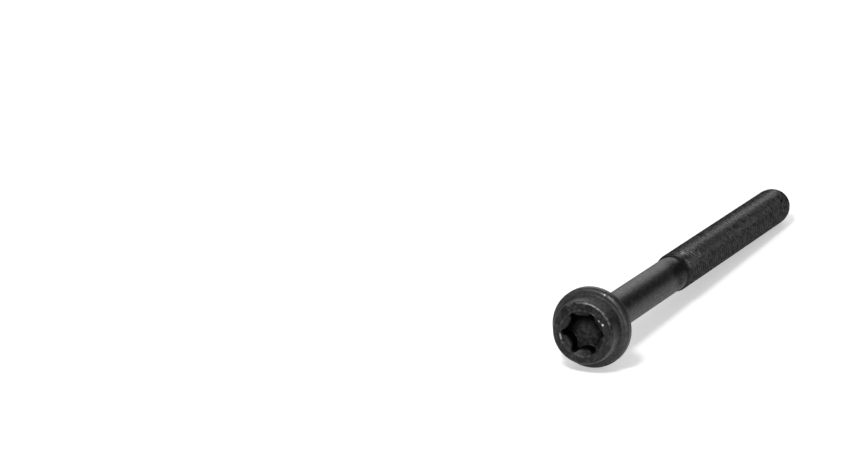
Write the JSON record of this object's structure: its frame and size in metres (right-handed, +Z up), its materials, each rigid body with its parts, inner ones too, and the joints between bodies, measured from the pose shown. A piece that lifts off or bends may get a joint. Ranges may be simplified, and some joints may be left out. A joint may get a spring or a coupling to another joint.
{
  "type": "cylinder head bolt",
  "caption": "Long flanged cylinder head bolt with a round head, six-lobed drive recess, guide collar, waisted shank and bullet point.",
  "frame": {"origin": "on the floor, under the middle of the bolt's footprint as it lies at rest", "axes": "+X along the bolt from its head to its point, +Z up, +Y across; the axis dips by about 2.2 degrees to the point"},
  "size_m": [0.173, 0.0242, 0.0242],
  "materials": {
    "phosphated_steel": "black phosphate on forged and rolled steel, lightly oiled"
  },
  "bodies": {
    "root": {"head_bolt": "phosphated_steel"}
  },
  "joints": []
}
